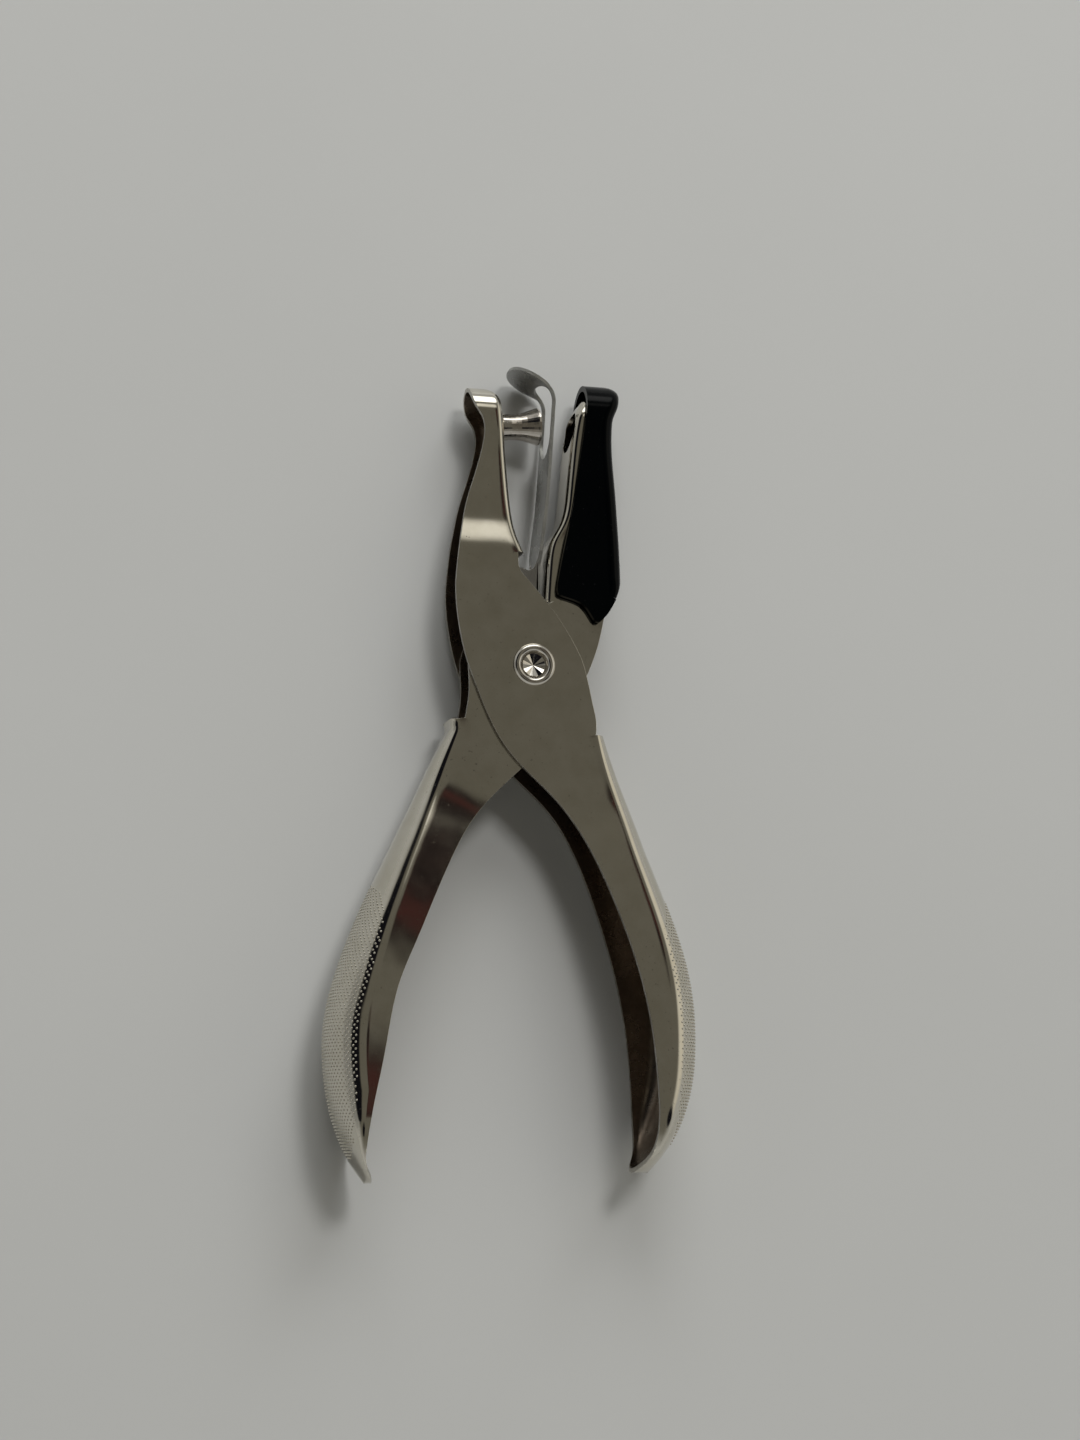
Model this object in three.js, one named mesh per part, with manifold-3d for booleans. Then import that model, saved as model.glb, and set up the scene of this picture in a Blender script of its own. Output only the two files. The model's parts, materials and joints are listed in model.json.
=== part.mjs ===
// Single-hole plier punch: two stamped steel channel levers on one rivet, a staked punch pin,
// a slotted stripper, a return spring and a plastic cover that catches the paper chips.
//
// Everything is drawn in millimetres round the pivot: the pivot axis is Z, the origin is in the
// middle of the thickness, +Y runs to the jaws, +X to the outer lever's handle. The last lines
// move the whole punch so that the bottom centre of its box is the origin.

import * as THREE from "three";
import { mergeVertices } from "three/addons/utils/BufferGeometryUtils.js";
import Module from "manifold-3d";

const wasm = await Module();
wasm.setup();

// ---- Driving sizes ------------------------------------------------------------------------

const SHEET = 0.75; // steel sheet of both levers
const PLATE_GAP = 0.15; // running gap between the levers' plates at the pivot
const OUTER_HALF = 4.6; // half thickness of the outer lever's head
const INNER_HALF = OUTER_HALF - SHEET - PLATE_GAP;
const JAW_HALF = 4.0; // half thickness of both jaws
const GRIP_HALF = 8.6; // half thickness of both handles at their widest
const JAW_BEND = 1.2; // corner radius of the jaws' folds
const OUTER_TIP = 48; // top of the punch jaw
const INNER_TIP = 47.6; // top of the die jaw
const TIP_LENGTH = 4.4; // length of a jaw's rounded tip
const OUTER_GRIP_END = -82.7;
const INNER_GRIP_END = -84.3;
const GRIP_END_LENGTH = 11; // length of a handle's rounded end

const PUNCH_RADIUS = 3.17; // quarter-inch hole
const PUNCH_ROOT = [-4.75, 41.7]; // where the punch's axis meets the jaw
const PUNCH_TILT = THREE.MathUtils.degToRad(4.6); // square to the jaw's web
const PUNCH_LENGTH = 6.5; // jaw to cutting edge
const STAKE_RADIUS = 1.6; // tail of the punch through the jaw's web
const DIE_CLEARANCE = 0.28; // round the punch in the die hole
const CLOSING_ANGLE = THREE.MathUtils.degToRad(8.8); // full squeeze of the levers

const RIVET_RADIUS = 2.5;
const RIVET_HEAD_RADIUS = 3.55;
const RUNNING_FIT = 0.06; // radial clearance of each hole on the rivet
const BUSH_RADIUS = 3.2;

const STRIP = 0.6; // spring steel of the stripper
const STRIP_HALF = 3.8; // half width of the stripper
const SLOT_HALF = 3.4; // half width of its slot
const SLOT_FOOT = 40.1; // centre of the slot's round foot
const TAB_HALF = 5.1; // half width of the stripper's tab
const EAR_HALF = 2.75; // outside of the two ears
const EAR_RADIUS = 4.3; // of the ears round the rivet

const WIRE_RADIUS = 0.5; // return spring
const COIL_RADIUS = 4.1;
const COIL_HALF = 1.4; // the coil's wire centres run from -COIL_HALF to +COIL_HALF

const COVER_WALL = 0.95;
const COVER_HALF = 5.1; // half thickness of the chip cover
const COVER_TOP = 49.8;
const COVER_HINGE = [11.2, 10.1]; // axis of the chip cover's pips
const PIP_RADIUS = 0.9;

const ROUND_STEPS = 44; // sides of a full circle
const THROUGH = 20; // reaches past the whole thickness

// ---- Solids -------------------------------------------------------------------------------

// A closed three.js geometry as a manifold solid.
function solid(geometry) {
  const plain = geometry.clone();
  plain.deleteAttribute("normal");
  plain.deleteAttribute("uv");
  const merged = mergeVertices(plain, 1e-5);
  return new wasm.Manifold(
    new wasm.Mesh({
      numProp: 3,
      vertProperties: Float32Array.from(merged.attributes.position.array),
      triVerts: Uint32Array.from(merged.index.array),
    }),
  );
}

// A manifold solid as a three.js geometry.
function surface(body) {
  const mesh = body.getMesh();
  const geometry = new THREE.BufferGeometry();
  geometry.setAttribute("position", new THREE.BufferAttribute(mesh.vertProperties, 3));
  geometry.setIndex(new THREE.BufferAttribute(mesh.triVerts, 1));
  geometry.computeVertexNormals();
  return geometry;
}

// Six times the volume that a list of triangles encloses; negative if they face inwards.
function signedVolume(points, triangles) {
  const corner = (i) => new THREE.Vector3(...points[i]);
  let sum = 0;
  for (const [a, b, c] of triangles) {
    sum += corner(a).dot(corner(b).cross(corner(c)));
  }
  return sum;
}

// A closed solid through rings with the same number of points, each end closed by a fan.
function loft(rings) {
  const size = rings[0].length;
  const points = rings.flat();
  const triangles = [];
  for (let r = 0; r + 1 < rings.length; r++) {
    for (let i = 0; i < size; i++) {
      const a = r * size + i;
      const b = r * size + ((i + 1) % size);
      triangles.push([a, b, b + size], [a, b + size, a + size]);
    }
  }
  const last = (rings.length - 1) * size;
  for (let i = 1; i + 1 < size; i++) {
    triangles.push([0, i + 1, i], [last, last + i, last + i + 1]);
  }
  if (signedVolume(points, triangles) < 0) {
    triangles.forEach((triangle) => triangle.reverse());
  }
  const geometry = new THREE.BufferGeometry();
  geometry.setAttribute("position", new THREE.Float32BufferAttribute(points.flat(), 3));
  geometry.setIndex(triangles.flat());
  return solid(geometry);
}

// A THREE.Shape through corners.
function outline(corners) {
  return new THREE.Shape(corners.map(([x, y]) => new THREE.Vector2(x, y)));
}

// A shape in XY pulled out along Z from low to high.
function slab(shape, low, high) {
  const geometry = new THREE.ExtrudeGeometry(shape, {
    depth: high - low,
    bevelEnabled: false,
    curveSegments: ROUND_STEPS / 2,
  });
  geometry.translate(0, 0, low);
  return geometry;
}

// A round bar along Z from low to high.
function bar(radius, [x, y], low, high) {
  const geometry = new THREE.CylinderGeometry(radius, radius, high - low, ROUND_STEPS);
  geometry.rotateX(Math.PI / 2);
  geometry.translate(x, y, (low + high) / 2);
  return geometry;
}

// Lays a geometry drawn along Z, with its foot at the origin, along the punch's axis.
function alongPunch(geometry) {
  geometry.rotateY(Math.PI / 2);
  geometry.rotateZ(PUNCH_TILT);
  geometry.translate(...PUNCH_ROOT, 0);
  return geometry;
}

// A closed profile of [radius, height] points turned round Z.
function turned(profile) {
  const points = profile.map(([radius, height]) => new THREE.Vector2(radius, height));
  const geometry = new THREE.LatheGeometry(points, ROUND_STEPS);
  geometry.rotateX(Math.PI / 2);
  return geometry;
}

// ---- Folded channels ----------------------------------------------------------------------

// A smooth curve through [place, value] points that doesn't overshoot between them.
function curve(points) {
  const rise = points.slice(1).map((p, i) => (p[1] - points[i][1]) / (p[0] - points[i][0]));
  const slope = points.map((_, i) => {
    if (i === 0) return rise[0];
    if (i === points.length - 1) return rise[i - 1];
    const product = rise[i - 1] * rise[i];
    return product > 0 ? (2 * product) / (rise[i - 1] + rise[i]) : 0;
  });
  const way = points[0][0] > points[1][0] ? -1 : 1;
  return (place) => {
    const after = points.findIndex((p) => way * p[0] >= way * place);
    if (after === 0) return points[0][1];
    if (after < 0) return points[points.length - 1][1];
    const [x0, y0] = points[after - 1];
    const [x1, y1] = points[after];
    const width = x1 - x0;
    const t = (place - x0) / width;
    const lean = (1 - t) * slope[after - 1] * width - t * slope[after] * width;
    return y0 + (y1 - y0) * t * t * (3 - 2 * t) + t * (1 - t) * lean;
  };
}

// Heights from top to bottom: every mark, none further apart than the step, and close together
// where the ends are rounded.
function levels(top, bottom, marks, step) {
  const near = [0.03, 0.15, 0.4, 0.9, 1.6, 2.6];
  const ends = near.flatMap((distance) => [top - distance, bottom + 4 * distance]);
  const all = [top, bottom, ...marks, ...ends].filter((y) => y <= top && y >= bottom);
  all.sort((a, b) => b - a);
  const result = [all[0]];
  for (const y of all.slice(1)) {
    const before = result[result.length - 1];
    const count = Math.ceil((before - y) / step);
    for (let k = 1; k <= count; k++) {
      result.push(before + ((y - before) * k) / count);
    }
  }
  return result.filter((y, i) => i === 0 || result[i - 1] - y > 0.02);
}

// Falls from 1 to 0 over a rounded end, as an ellipse does.
function endRound(y, end, length) {
  const t = Math.min(Math.abs(y - end) / length, 1);
  return Math.sqrt(1 - (1 - t) * (1 - t));
}

// One ring of a channel at height y: open on one side, with two plates and a web joined by bends.
function channelRing(y, open, web, openHalf, webHalf, bend, rise) {
  const side = Math.sign(web - open);
  const steps = 4;
  const ring = [[open, y, -openHalf]];
  for (const half of [-1, 1]) {
    for (let k = 0; k <= steps; k++) {
      const angle = ((half < 0 ? k - steps : k) / steps) * (Math.PI / 2);
      const x = web - side * bend * (1 - Math.cos(angle));
      const z = half * (webHalf - rise) + rise * Math.sin(angle);
      ring.push([x, y, z]);
    }
  }
  ring.push([open, y, openHalf]);
  return ring;
}

// The solid of a channel, shrunk by inset on every side but the open one.
function channelSolid(form, inset) {
  const top = form.top - inset;
  const bottom = form.bottom + inset;
  const rings = levels(top, bottom, form.marks, form.step).map((y) => {
    const side = Math.sign(form.web(y) - form.open(y));
    const web = form.web(y) - side * inset;
    const open = form.open(y) - (inset > 0 ? side * form.overshoot : 0);
    const tip = endRound(y, top, form.topLength - inset);
    const tail = form.bottomLength > 0 ? endRound(y, bottom, form.bottomLength - inset) : 1;
    const thickness = (x) => Math.max((form.half(x, y) - inset) * tip * tail, 0.05);
    const bend = Math.min(Math.max(form.bend(y) - inset, 0.3), Math.abs(web - open) * 0.8);
    const openHalf = thickness(open);
    const webHalf = thickness(web - side * bend);
    const rise = Math.min(Math.max(form.rise(y) - inset, 0.3), webHalf * 0.96);
    return channelRing(y, open, web, openHalf, webHalf, bend, rise);
  });
  return loft(rings);
}

// A folded sheet channel.
function channel(form) {
  return channelSolid(form, 0).subtract(channelSolid(form, form.sheet));
}

// How far a handle has swollen from its head to its grip, by the distance along it from the pivot.
const swell = curve([
  [23, 0],
  [33, 0.26],
  [43, 0.55],
  [52, 0.78],
  [64, 0.96],
  [72, 1],
]);
const handleSwell = (start) => (distance) => start + (GRIP_HALF - start) * swell(distance);

// Depth and height of the bends down a lever: tight folds in the jaw, a round back in the handle.
const bendDepth = curve([
  [-9, JAW_BEND],
  [-14, 2.2],
  [-25, 3.4],
  [-40, 4.6],
  [-60, 5.6],
  [-74, 5],
  [-84, 2],
]);
const bendRise = curve([
  [-9, JAW_BEND],
  [-14, 2.6],
  [-25, 4.2],
  [-40, GRIP_HALF],
]);

// ---- Outer lever: punch jaw at the left, handle at the right --------------------------------

const outerOpen = curve([
  [48, -10.8],
  [46, -10.5],
  [44, -9.9],
  [42, -8.6],
  [39.8, -8.3],
  [37, -8.7],
  [31.4, -10.2],
  [27.4, -11.4],
  [18.7, -12.8],
  [12, -13.3],
  [3.5, -12.2],
  [-6.3, -8.8],
  [-12, -6.2],
  [-16.9, -2.5],
  [-21.6, 3.3],
  [-27.3, 7.6],
  [-33, 10.6],
  [-45.7, 15.5],
  [-53.5, 17.7],
  [-62.2, 19.2],
  [-75, 20],
  [-79.8, 19.4],
  [-82.7, 17.4],
]);
const OUTER_WEB = [
  [48, -7.3],
  [47.2, -6.2],
  [46, -5.5],
  [44, -5.2],
  [41.7, -5],
  [36.9, -4.65],
  [28.2, -3.9],
  [24, -3.3],
  [20.6, -2.3],
  [19, -1.5],
  [17, 9.5],
  [8, 11.8],
  [-9, 12],
  [-11.7, 12.2],
  [-19.8, 15.5],
  [-27.9, 18.8],
  [-35.8, 22],
  [-44.5, 25.3],
  [-51.8, 27.3],
  [-58.8, 28],
  [-65.5, 27.9],
  [-70, 27.1],
  [-73.9, 25.9],
  [-77.8, 24],
  [-82.7, 20.2],
];
const outerHead = curve([
  [48, JAW_HALF + 0.1],
  [42, JAW_HALF + 0.2],
  [36, JAW_HALF - 0.15],
  [25.5, JAW_HALF],
  [19, OUTER_HALF],
]);
const outerSwell = handleSwell(OUTER_HALF);
const outerForm = {
  top: OUTER_TIP,
  bottom: OUTER_GRIP_END,
  topLength: TIP_LENGTH,
  bottomLength: GRIP_END_LENGTH,
  sheet: SHEET,
  overshoot: 2,
  step: 4.5,
  marks: OUTER_WEB.map(([y]) => y),
  open: outerOpen,
  web: curve(OUTER_WEB),
  half: (x, y) => (y > 5 ? outerHead(y) : outerSwell(0.37 * x - 0.93 * y)),
  bend: bendDepth,
  rise: bendRise,
};

// The head's right edge, where the web is cut away so that the other lever can cross.
const OUTER_HEAD_CUT = [
  [-1.3, 19.1],
  [-2.7, 17.5],
  [-2.6, 16.4],
  [-0.6, 14],
  [1.9, 11.1],
  [4.5, 7.8],
  [7, 3.7],
  [8.4, 0.8],
  [9.2, -2.2],
  [9.9, -5.5],
  [10.7, -9.8],
  [11.6, -11.3],
  [40, -11.3],
  [40, 19.1],
];

function outerLever() {
  const stakeHole = alongPunch(bar(STAKE_RADIUS + 0.1, [0, 0], -3, 2));
  return channel(outerForm)
    .subtract(solid(slab(outline(OUTER_HEAD_CUT), -THROUGH, THROUGH)))
    .subtract(solid(bar(RIVET_RADIUS + RUNNING_FIT, [0, 0], -THROUGH, THROUGH)))
    .subtract(solid(stakeHole));
}

// ---- Inner lever: die jaw at the right, handle at the left ----------------------------------

const innerOpen = curve([
  [47.6, 12],
  [44, 12.1],
  [30, 12.5],
  [20, 12.9],
  [12, 12.9],
  [8.9, 12.3],
  [4.1, 11.4],
  [-1.1, 9.4],
  [-8, 6],
  [-14, 1.6],
  [-17.6, -2.2],
  [-22.5, -7.4],
  [-25.5, -10],
  [-30, -12.6],
  [-37.9, -16.3],
  [-45.2, -19.4],
  [-54.1, -23.2],
  [-65, -25.2],
  [-76.5, -27.4],
  [-80.5, -27.6],
  [-84.3, -24.6],
]);
const INNER_WEB = [
  [47.6, 10.1],
  [46.7, 9],
  [45.5, 8.25],
  [43.9, 7.65],
  [39.4, 6.85],
  [33, 6.2],
  [27.1, 5.6],
  [24.5, 4.9],
  [22.6, 3.7],
  [21, 2.9],
  [19, 2.65],
  [12.2, 2.2],
  [11, 2.1],
  [9, -11.8],
  [0, -12.3],
  [-9.3, -12.7],
  [-10.8, -13.5],
  [-13, -14.9],
  [-21.6, -18.8],
  [-29.3, -22.5],
  [-39.1, -27],
  [-46.9, -30.2],
  [-53.1, -32.2],
  [-60.1, -33.6],
  [-65.4, -33.5],
  [-71.3, -32.7],
  [-75.3, -31.6],
  [-80, -29.4],
  [-84.3, -26.7],
];
const innerHead = curve([
  [25.5, JAW_HALF],
  [20.5, INNER_HALF],
]);
const innerSwell = handleSwell(INNER_HALF);
const innerForm = {
  ...outerForm,
  top: INNER_TIP,
  bottom: INNER_GRIP_END,
  marks: INNER_WEB.map(([y]) => y),
  open: innerOpen,
  web: curve(INNER_WEB),
  half: (x, y) => (y > 10 ? innerHead(y) : innerSwell(-0.43 * x - 0.9 * y)),
};

// The head's left edge, from the foot of the die jaw's web to the top of the handle's web.
const INNER_HEAD_CUT = [
  [-40, 11],
  [3.4, 11],
  [0.5, 10.1],
  [-5, 9],
  [-8.6, 6.5],
  [-10.9, 1],
  [-10.7, -4],
  [-11.2, -8.4],
  [-12.5, -9.4],
  [-40, -9.4],
];

// The die hole lies along the punch as it stands at full squeeze.
function dieHole() {
  const hole = alongPunch(bar(PUNCH_RADIUS + DIE_CLEARANCE, [0, 0], 2.5, 9));
  hole.rotateZ(-CLOSING_ANGLE);
  return solid(hole);
}

function innerLever() {
  return channel(innerForm)
    .subtract(solid(slab(outline(INNER_HEAD_CUT), -THROUGH, THROUGH)))
    .subtract(solid(bar(RIVET_RADIUS + RUNNING_FIT, [0, 0], -THROUGH, THROUGH)))
    .subtract(solid(bar(PIP_RADIUS + 0.2, COVER_HINGE, -THROUGH, THROUGH)))
    .subtract(dieHole());
}

// ---- Punch pin ------------------------------------------------------------------------------

// A waisted pin with a hollow-ground end; its tail passes through the jaw and is staked inside.
function punchPin() {
  const rootGap = 0.1; // shoulder to web
  const webBack = -1.25;
  return alongPunch(
    turned([
      [0, -2],
      [1.9, -2],
      [2.2, -1.7],
      [2.2, webBack],
      [STAKE_RADIUS, webBack],
      [STAKE_RADIUS, rootGap],
      [2.35, rootGap],
      [2.28, 0.7],
      [2.2, 1.5],
      [2.2, 2.3],
      [2.28, 3.2],
      [2.5, 4.2],
      [2.83, 5.2],
      [3.1, 5.95],
      [PUNCH_RADIUS, 6.2],
      [PUNCH_RADIUS, PUNCH_LENGTH],
      [0, PUNCH_LENGTH - 0.5],
    ]),
  );
}

// ---- Pivot ----------------------------------------------------------------------------------

// Tubular rivet: a rolled rim and a coned recess in front, a low dome behind.
function pivotRivet() {
  const seat = OUTER_HALF + 0.05;
  return turned([
    [0, -seat - 0.6],
    [1.8, -seat - 0.6],
    [2.9, -seat - 0.45],
    [RIVET_HEAD_RADIUS, -seat],
    [RIVET_RADIUS, -seat],
    [RIVET_RADIUS, seat],
    [RIVET_HEAD_RADIUS, seat],
    [3.45, seat + 0.35],
    [3.1, seat + 0.62],
    [2.7, seat + 0.68],
    [2.3, seat + 0.5],
    [2.15, seat + 0.2],
    [0, seat - 0.75],
  ]);
}

function spacerBush() {
  const bore = RIVET_RADIUS + RUNNING_FIT;
  const half = EAR_HALF - STRIP - 0.1;
  return turned([
    [bore, -half],
    [BUSH_RADIUS, -half],
    [BUSH_RADIUS, half],
    [bore, half],
    [bore, -half],
  ]);
}

// Return spring: a coil round the bush with one leg down inside each handle.
function torsionSpring() {
  const start = THREE.MathUtils.degToRad(24.5);
  const finish = THREE.MathUtils.degToRad(150 + 720);
  const coilSteps = 40;
  const points = [
    [12.9, -18.8, -COIL_HALF],
    [10.7, -13.4, -COIL_HALF],
    [6, -3.2, -COIL_HALF],
  ];
  for (let k = 0; k <= coilSteps; k++) {
    const t = k / coilSteps;
    const angle = start + (finish - start) * t;
    const [x, y] = [COIL_RADIUS * Math.cos(angle), COIL_RADIUS * Math.sin(angle)];
    points.push([x, y, COIL_HALF * (2 * t - 1)]);
  }
  points.push([-6.4, -3, COIL_HALF], [-12.1, -13, COIL_HALF], [-15.6, -19, COIL_HALF]);
  const path = points.map((point) => new THREE.Vector3(...point));
  const sides = 6;
  const section = outline(
    Array.from({ length: sides }, (_, k) => {
      const angle = (k / sides) * 2 * Math.PI;
      return [WIRE_RADIUS * Math.cos(angle), WIRE_RADIUS * Math.sin(angle)];
    }),
  );
  return new THREE.ExtrudeGeometry(section, {
    steps: 90,
    bevelEnabled: false,
    extrudePath: new THREE.CatmullRomCurve3(path, false, "centripetal"),
  });
}

// ---- Stripper -------------------------------------------------------------------------------

// The strip's punch side seen edge on: up the throat, then bent over the punch into a tab.
function stripLine() {
  const throat = [
    [0.75, 12.5],
    [0.9, 16],
    [1.15, 20],
    [2, 27],
    [2.6, 34],
    [3.05, 41],
    [3.35, 45.4],
  ].map(([x, y]) => new THREE.Vector2(x, y));
  const bend = new THREE.QuadraticBezierCurve(
    new THREE.Vector2(3.35, 45.4),
    new THREE.Vector2(3.55, 47.75),
    new THREE.Vector2(1.7, 48.7),
  );
  return [
    ...new THREE.SplineCurve(throat).getPoints(18),
    ...bend.getPoints(10).slice(1),
    new THREE.Vector2(-3.6, 51.45),
  ];
}

// The strip's edge: its line, and back along the line moved one thickness towards the die.
function stripEdge() {
  const line = stripLine();
  const far = line.map((point, i) => {
    const before = line[Math.max(i - 1, 0)];
    const after = line[Math.min(i + 1, line.length - 1)];
    const way = after.clone().sub(before).setLength(STRIP);
    return new THREE.Vector2(point.x + way.y, point.y - way.x);
  });
  return new THREE.Shape([...line, ...far.reverse()]);
}

// The strip's face: narrow between the ears, wide above them, then the slot's parallel sides.
function stripFace() {
  const face = outline([
    [-EAR_HALF, 10],
    [EAR_HALF, 10],
    [EAR_HALF, 17.8],
    [STRIP_HALF, 19.6],
    [STRIP_HALF, 47],
    [TAB_HALF + 1, 48.2],
    [TAB_HALF + 1, 60],
    [-TAB_HALF - 1, 60],
    [-TAB_HALF - 1, 48.2],
    [-STRIP_HALF, 47],
    [-STRIP_HALF, 19.6],
    [-EAR_HALF, 17.8],
  ]);
  return solid(slab(face, -12, 12).rotateY(Math.PI / 2));
}

// The tab seen from above the jaws: an oval pad on the end of the strip.
function tabFootprint() {
  const foot = new THREE.Shape();
  foot.moveTo(12, -STRIP_HALF);
  foot.lineTo(12, STRIP_HALF);
  foot.lineTo(2.6, STRIP_HALF);
  foot.bezierCurveTo(1.4, TAB_HALF, -3.4, TAB_HALF + 0.8, -3.6, 0);
  foot.bezierCurveTo(-3.4, -TAB_HALF - 0.8, 1.4, -TAB_HALF, 2.6, -STRIP_HALF);
  return solid(slab(foot, 0, 60).rotateX(-Math.PI / 2));
}

// The slot that the punch passes through, from a round foot up and over into the tab.
function stripSlot() {
  const upright = new THREE.Shape();
  upright.moveTo(-SLOT_HALF, 60);
  upright.lineTo(-SLOT_HALF, SLOT_FOOT);
  upright.absarc(0, SLOT_FOOT, SLOT_HALF, Math.PI, 2 * Math.PI, false);
  upright.lineTo(SLOT_HALF, 60);
  const top = new THREE.Shape();
  top.absellipse(2.9, 0, 1.6, SLOT_HALF, 0, 2 * Math.PI, false);
  return solid(slab(upright, 2.6, 12).rotateY(Math.PI / 2))
    .add(solid(slab(upright, 2.3, 2.7).rotateY(Math.PI / 2)).intersect(slotReach()))
    .add(solid(slab(top, 40, 60).rotateX(-Math.PI / 2)));
}

// Keeps the slot's thin front layer below the tab.
function slotReach() {
  return solid(new THREE.BoxGeometry(12, 20, 12).translate(0, 36, 0));
}

// Two ears folded back from the strip's foot, with holes that turn on the rivet.
function ears() {
  const ear = new THREE.Shape();
  const edge = 1.2;
  const lean = 0.4;
  ear.moveTo(edge, 19.6);
  ear.quadraticCurveTo(0.9, 16.6, -0.6, 16.5);
  ear.lineTo(-2, 17);
  ear.lineTo(-EAR_RADIUS * Math.cos(lean), EAR_RADIUS * Math.sin(lean));
  ear.absarc(0, 0, EAR_RADIUS, Math.PI - lean, 2 * Math.PI + lean, false);
  ear.lineTo(edge, 11.5);
  ear.closePath();
  const bore = new THREE.Path();
  bore.absarc(0, 0, RIVET_RADIUS + RUNNING_FIT, 0, 2 * Math.PI, true);
  ear.holes.push(bore);
  const front = solid(slab(ear, EAR_HALF - STRIP, EAR_HALF));
  const rear = solid(slab(ear, -EAR_HALF, STRIP - EAR_HALF));
  return front.add(rear);
}

function stripper() {
  return solid(slab(stripEdge(), -2 * STRIP_HALF, 2 * STRIP_HALF))
    .intersect(stripFace())
    .intersect(tabFootprint())
    .subtract(stripSlot())
    .add(ears());
}

// ---- Chip cover -----------------------------------------------------------------------------

const coverOpen = curve([
  [49.8, 9.3],
  [45.5, 9.2],
  [42.5, 8.9],
  [38.9, 8.4],
  [26.7, 6.5],
  [16.3, 4.4],
  [7, 2.5],
]);
const COVER_BACK = [
  [49.8, 14.1],
  [49.1, 14.9],
  [48, 15.3],
  [45.8, 15],
  [42.8, 13.9],
  [39.2, 13.75],
  [28.8, 14.45],
  [18.5, 15.05],
  [15.1, 15.15],
  [13, 14.6],
  [10.7, 13.5],
  [9, 12.5],
  [7.4, 10.9],
];
const coverFold = curve([
  [16, 1.7],
  [12, 0.6],
]);
const coverForm = {
  top: COVER_TOP,
  bottom: 6,
  topLength: 5,
  bottomLength: 0,
  sheet: COVER_WALL,
  overshoot: 3,
  step: 5,
  marks: COVER_BACK.map(([y]) => y),
  open: coverOpen,
  web: curve(COVER_BACK),
  half: () => COVER_HALF,
  bend: coverFold,
  rise: coverFold,
};

// Below the cover: a hollow edge that ends in two pointed lugs round the hinge pips.
const COVER_EDGE_CUT = [
  [-5, 12.9],
  [3.8, 12.1],
  [6.5, 11.4],
  [8.3, 10.7],
  [9.4, 9.4],
  [10.2, 8.1],
  [10.9, 7.7],
  [30, 7.7],
  [30, 0],
  [-5, 0],
];

// Clears the cover's back from the inner lever's plates, which it swings past.
const COVER_BACK_CUT = [
  [0, 12],
  [30, 12],
  [30, 0],
  [0, 0],
];

function chipCover() {
  const inside = COVER_HALF - COVER_WALL;
  const pipEnd = INNER_HALF - 0.55;
  return channel(coverForm)
    .subtract(solid(slab(outline(COVER_EDGE_CUT), -THROUGH, THROUGH)))
    .subtract(solid(slab(outline(COVER_BACK_CUT), 0.1 - inside, inside - 0.1)))
    .add(solid(bar(PIP_RADIUS, COVER_HINGE, pipEnd, inside + 0.2)))
    .add(solid(bar(PIP_RADIUS, COVER_HINGE, -inside - 0.2, -pipEnd)));
}

// ---- The punch ------------------------------------------------------------------------------

const plated = { color: 0x8a8578, roughness: 0.22, metalness: 1 };
const pieces = {
  outer_lever: [surface(outerLever()), plated],
  inner_lever: [surface(innerLever()), plated],
  punch_pin: [punchPin(), { color: 0xa5a29a, roughness: 0.2, metalness: 1 }],
  stripper: [surface(stripper()), { color: 0xa9a9a6, roughness: 0.3, metalness: 1 }],
  pivot_rivet: [pivotRivet(), { color: 0xb0aca4, roughness: 0.2, metalness: 1 }],
  spacer_bush: [spacerBush(), { color: 0x8f8f8c, roughness: 0.4, metalness: 1 }],
  torsion_spring: [torsionSpring(), { color: 0x77746e, roughness: 0.35, metalness: 1 }],
  chip_cover: [surface(chipCover()), { color: 0x05080a, roughness: 0.25, metalness: 0 }],
};

const punch = new THREE.Group();
for (const [name, [geometry, look]] of Object.entries(pieces)) {
  const mesh = new THREE.Mesh(geometry, new THREE.MeshStandardMaterial(look));
  mesh.name = name;
  punch.add(mesh);
}

// Put the origin at the bottom centre of the whole punch's box.
const box = new THREE.Box3().setFromObject(punch);
const centre = box.getCenter(new THREE.Vector3());
punch.position.set(-centre.x, -centre.y, -box.min.z);

export default punch;
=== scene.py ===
"""Looks for the plier-type hole punch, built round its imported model."""

import json
import math

import bmesh
import bpy
import numpy as np
from mathutils import Matrix, Vector


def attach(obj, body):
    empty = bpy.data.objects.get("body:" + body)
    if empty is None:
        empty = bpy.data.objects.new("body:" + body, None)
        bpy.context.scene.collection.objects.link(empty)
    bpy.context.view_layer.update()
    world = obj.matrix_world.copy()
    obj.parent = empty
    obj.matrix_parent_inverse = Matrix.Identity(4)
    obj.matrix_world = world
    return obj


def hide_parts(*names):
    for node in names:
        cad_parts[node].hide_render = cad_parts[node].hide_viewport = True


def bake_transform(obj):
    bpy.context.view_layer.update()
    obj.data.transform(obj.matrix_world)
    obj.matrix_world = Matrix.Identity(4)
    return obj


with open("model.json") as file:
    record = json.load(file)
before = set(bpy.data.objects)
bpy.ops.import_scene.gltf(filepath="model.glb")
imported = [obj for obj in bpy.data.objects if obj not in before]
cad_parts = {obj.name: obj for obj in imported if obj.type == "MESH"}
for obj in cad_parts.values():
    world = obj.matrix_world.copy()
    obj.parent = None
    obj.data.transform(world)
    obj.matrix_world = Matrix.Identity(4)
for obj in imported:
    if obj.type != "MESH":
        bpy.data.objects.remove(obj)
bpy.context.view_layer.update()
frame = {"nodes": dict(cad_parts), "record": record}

MM = 0.001
SQUEEZE = next(j for j in frame["record"]["behaviour"]["joints"] if j["name"] == "squeeze")
PIVOT = Vector(SQUEEZE["pos_m"])


def place(x, y, z):
    """A point in millimetres round the pivot, as a point of the row frame in metres."""
    return PIVOT + Vector((x, y, z)) * MM


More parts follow.
